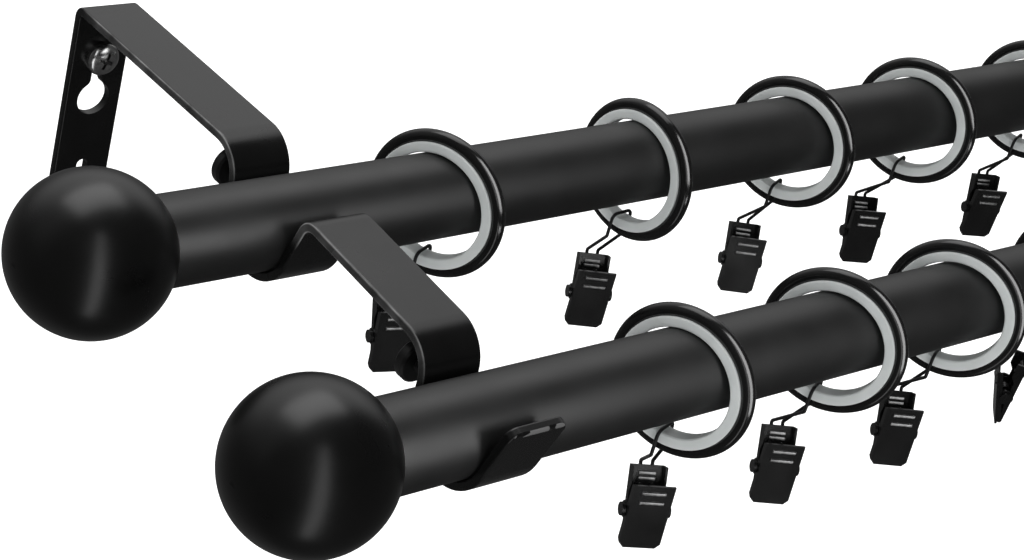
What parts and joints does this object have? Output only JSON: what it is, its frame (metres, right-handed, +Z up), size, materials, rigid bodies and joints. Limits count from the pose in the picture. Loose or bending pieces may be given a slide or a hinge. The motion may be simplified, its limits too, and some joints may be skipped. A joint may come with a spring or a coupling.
{
  "type": "double curtain pole",
  "caption": "Two round black poles with ball finials on bent strip wall brackets, carrying lined rings with hanging sprung curtain clips.",
  "frame": {"origin": "on the wall plane, at the height of the wall screws, midway between the two brackets", "axes": "+X along the poles, +Y into the wall, +Z up"},
  "size_m": [0.8121, 0.2453, 0.102],
  "materials": {
    "pole_paint": "satin black",
    "finial": "satin black",
    "bracket_paint": "satin black",
    "lock_screw": "black",
    "screw_steel": "bright zinc",
    "ring_paint": "gloss black",
    "liner": "translucent grey",
    "hook_wire": "black",
    "clip": "gloss black"
  },
  "bodies": {
    "rail": {"back_pole": "pole_paint", "front_pole": "pole_paint", "back_left_finial": "finial", "back_right_finial": "finial", "front_left_finial": "finial", "front_right_finial": "finial", "left_bracket": "bracket_paint", "right_bracket": "bracket_paint", "lock_screws": "lock_screw", "wall_screws": "screw_steel"},
    "ring_back_1": {"ring_back_1": "ring_paint", "liner_back_1": "liner"},
    "hook_back_1": {"hook_back_1": "hook_wire", "clip_back_back_1": "clip"},
    "jaw_back_1": {"clip_front_back_1": "clip"},
    "ring_back_2": {"ring_back_2": "ring_paint", "liner_back_2": "liner"},
    "hook_back_2": {"hook_back_2": "hook_wire", "clip_back_back_2": "clip"},
    "jaw_back_2": {"clip_front_back_2": "clip"},
    "ring_back_3": {"ring_back_3": "ring_paint", "liner_back_3": "liner"},
    "hook_back_3": {"hook_back_3": "hook_wire", "clip_back_back_3": "clip"},
    "jaw_back_3": {"clip_front_back_3": "clip"},
    "ring_back_4": {"ring_back_4": "ring_paint", "liner_back_4": "liner"},
    "hook_back_4": {"hook_back_4": "hook_wire", "clip_back_back_4": "clip"},
    "jaw_back_4": {"clip_front_back_4": "clip"},
    "ring_back_5": {"ring_back_5": "ring_paint", "liner_back_5": "liner"},
    "hook_back_5": {"hook_back_5": "hook_wire", "clip_back_back_5": "clip"},
    "jaw_back_5": {"clip_front_back_5": "clip"},
    "ring_front_1": {"ring_front_1": "ring_paint", "liner_front_1": "liner"},
    "hook_front_1": {"hook_front_1": "hook_wire", "clip_back_front_1": "clip"},
    "jaw_front_1": {"clip_front_front_1": "clip"},
    "ring_front_2": {"ring_front_2": "ring_paint", "liner_front_2": "liner"},
    "hook_front_2": {"hook_front_2": "hook_wire", "clip_back_front_2": "clip"},
    "jaw_front_2": {"clip_front_front_2": "clip"},
    "ring_front_3": {"ring_front_3": "ring_paint", "liner_front_3": "liner"},
    "hook_front_3": {"hook_front_3": "hook_wire", "clip_back_front_3": "clip"},
    "jaw_front_3": {"clip_front_front_3": "clip"},
    "ring_front_4": {"ring_front_4": "ring_paint", "liner_front_4": "liner"},
    "hook_front_4": {"hook_front_4": "hook_wire", "clip_back_front_4": "clip"},
    "jaw_front_4": {"clip_front_front_4": "clip"},
    "ring_front_5": {"ring_front_5": "ring_paint", "liner_front_5": "liner"},
    "hook_front_5": {"hook_front_5": "hook_wire", "clip_back_front_5": "clip"},
    "jaw_front_5": {"clip_front_front_5": "clip"}
  },
  "joints": [
    {"name": "ring_back_1_slide", "type": "slide", "parent": "rail", "child": "ring_back_1", "axis": [1, 0, 0], "range_m": [-0.0352, 0.0265]},
    {"name": "hook_back_1_swing", "type": "hinge", "parent": "ring_back_1", "child": "hook_back_1", "pos_m": [-0.2484, -0.112, -0.02132], "axis": [-0.3746, 0.9272, 0], "range_deg": [-8, 8]},
    {"name": "jaw_back_1_open", "type": "hinge", "parent": "hook_back_1", "child": "jaw_back_1", "pos_m": [-0.2499, -0.10829, -0.05592], "axis": [-0.9659, 0.2588, 0], "range_deg": [0, 18], "stiffness_Nm_per_rad": 0.03, "springref_deg": -34.38},
    {"name": "ring_back_2_slide", "type": "slide", "parent": "rail", "child": "ring_back_2", "axis": [1, 0, 0], "range_m": [-0.0265, 0.0214]},
    {"name": "hook_back_2_swing", "type": "hinge", "parent": "ring_back_2", "child": "hook_back_2", "pos_m": [-0.1594, -0.112, -0.02169], "axis": [-0.0872, 0.9962, 0], "range_deg": [-8, 8]},
    {"name": "jaw_back_2_open", "type": "hinge", "parent": "hook_back_2", "child": "jaw_back_2", "pos_m": [-0.15975, -0.10801, -0.05629], "axis": [-0.8829, 0.4695, 0], "range_deg": [0, 18], "stiffness_Nm_per_rad": 0.03, "springref_deg": -34.38},
    {"name": "ring_back_3_slide", "type": "slide", "parent": "rail", "child": "ring_back_3", "axis": [1, 0, 0], "range_m": [-0.0214, 0.0174]},
    {"name": "hook_back_3_swing", "type": "hinge", "parent": "ring_back_3", "child": "hook_back_3", "pos_m": [-0.0806, -0.112, -0.02139], "axis": [-0.3584, 0.9336, 0], "range_deg": [-8, 8]},
    {"name": "jaw_back_3_open", "type": "hinge", "parent": "hook_back_3", "child": "jaw_back_3", "pos_m": [-0.08203, -0.10827, -0.05599], "axis": [-0.866, 0.5, 0], "range_deg": [0, 18], "stiffness_Nm_per_rad": 0.03, "springref_deg": -34.38},
    {"name": "ring_back_4_slide", "type": "slide", "parent": "rail", "child": "ring_back_4", "axis": [1, 0, 0], "range_m": [-0.0174, 0.0192]},
    {"name": "hook_back_4_swing", "type": "hinge", "parent": "ring_back_4", "child": "hook_back_4", "pos_m": [-0.0099, -0.112, -0.0215], "axis": [-0.3256, 0.9455, 0], "range_deg": [-8, 8]},
    {"name": "jaw_back_4_open", "type": "hinge", "parent": "hook_back_4", "child": "jaw_back_4", "pos_m": [-0.01169, -0.1068, -0.0561], "axis": [-0.9135, 0.4067, 0], "range_deg": [0, 18], "stiffness_Nm_per_rad": 0.03, "springref_deg": -34.38},
    {"name": "ring_back_5_slide", "type": "slide", "parent": "rail", "child": "ring_back_5", "axis": [1, 0, 0], "range_m": [-0.0192, 0.2199]},
    {"name": "hook_back_5_swing", "type": "hinge", "parent": "ring_back_5", "child": "hook_back_5", "pos_m": [0.0645, -0.112, -0.02145], "axis": [-0.342, 0.9397, 0], "range_deg": [-8, 8]},
    {"name": "jaw_back_5_open", "type": "hinge", "parent": "hook_back_5", "child": "jaw_back_5", "pos_m": [0.06313, -0.10824, -0.05605], "axis": [-0.9205, 0.3907, 0], "range_deg": [0, 18], "stiffness_Nm_per_rad": 0.03, "springref_deg": -34.38},
    {"name": "ring_front_1_slide", "type": "slide", "parent": "rail", "child": "ring_front_1", "axis": [1, 0, 0], "range_m": [-0.0591, 0.0165]},
    {"name": "hook_front_1_swing", "type": "hinge", "parent": "ring_front_1", "child": "hook_front_1", "pos_m": [-0.2266, -0.2113, -0.03007], "axis": [-0.2924, 0.9563, 0], "range_deg": [-8, 8]},
    {"name": "jaw_front_1_open", "type": "hinge", "parent": "hook_front_1", "child": "jaw_front_1", "pos_m": [-0.22607, -0.21302, -0.05987], "axis": [-0.8988, 0.4384, 0], "range_deg": [0, 18], "stiffness_Nm_per_rad": 0.03, "springref_deg": -34.38},
    {"name": "ring_front_2_slide", "type": "slide", "parent": "rail", "child": "ring_front_2", "axis": [1, 0, 0], "range_m": [-0.0165, 0.0125]},
    {"name": "hook_front_2_swing", "type": "hinge", "parent": "ring_front_2", "child": "hook_front_2", "pos_m": [-0.1576, -0.2113, -0.02972], "axis": [-0.3907, 0.9205, 0], "range_deg": [-8, 8]},
    {"name": "jaw_front_2_open", "type": "hinge", "parent": "hook_front_2", "child": "jaw_front_2", "pos_m": [-0.15916, -0.20762, -0.06432], "axis": [-0.8829, 0.4695, 0], "range_deg": [0, 18], "stiffness_Nm_per_rad": 0.03, "springref_deg": -34.38},
    {"name": "ring_front_3_slide", "type": "slide", "parent": "rail", "child": "ring_front_3", "axis": [1, 0, 0], "range_m": [-0.0125, 0.017]},
    {"name": "hook_front_3_swing", "type": "hinge", "parent": "ring_front_3", "child": "hook_front_3", "pos_m": [-0.0965, -0.2113, -0.02943], "axis": [-0.4226, 0.9063, 0], "range_deg": [-8, 8]},
    {"name": "jaw_front_3_open", "type": "hinge", "parent": "hook_front_3", "child": "jaw_front_3", "pos_m": [-0.09819, -0.20767, -0.06403], "axis": [-0.8829, 0.4695, 0], "range_deg": [0, 18], "stiffness_Nm_per_rad": 0.03, "springref_deg": -34.38},
    {"name": "ring_front_4_slide", "type": "slide", "parent": "rail", "child": "ring_front_4", "axis": [1, 0, 0], "range_m": [-0.017, 0.0185]},
    {"name": "hook_front_4_swing", "type": "hinge", "parent": "ring_front_4", "child": "hook_front_4", "pos_m": [-0.0265, -0.2113, -0.02989], "axis": [-0.3584, 0.9336, 0], "range_deg": [-8, 8]},
    {"name": "jaw_front_4_open", "type": "hinge", "parent": "hook_front_4", "child": "jaw_front_4", "pos_m": [-0.02973, -0.2029, -0.06449], "axis": [0.7314, 0.682, 0], "range_deg": [0, 18], "stiffness_Nm_per_rad": 0.03, "springref_deg": -34.38},
    {"name": "ring_front_5_slide", "type": "slide", "parent": "rail", "child": "ring_front_5", "axis": [1, 0, 0], "range_m": [-0.0185, 0.2379]},
    {"name": "hook_front_5_swing", "type": "hinge", "parent": "ring_front_5", "child": "hook_front_5", "pos_m": [0.0465, -0.2113, -0.02995], "axis": [-0.342, 0.9397, 0], "range_deg": [-8, 8]},
    {"name": "jaw_front_5_open", "type": "hinge", "parent": "hook_front_5", "child": "jaw_front_5", "pos_m": [0.04513, -0.20754, -0.06455], "axis": [-0.8829, 0.4695, 0], "range_deg": [0, 18], "stiffness_Nm_per_rad": 0.03, "springref_deg": -34.38}
  ]
}
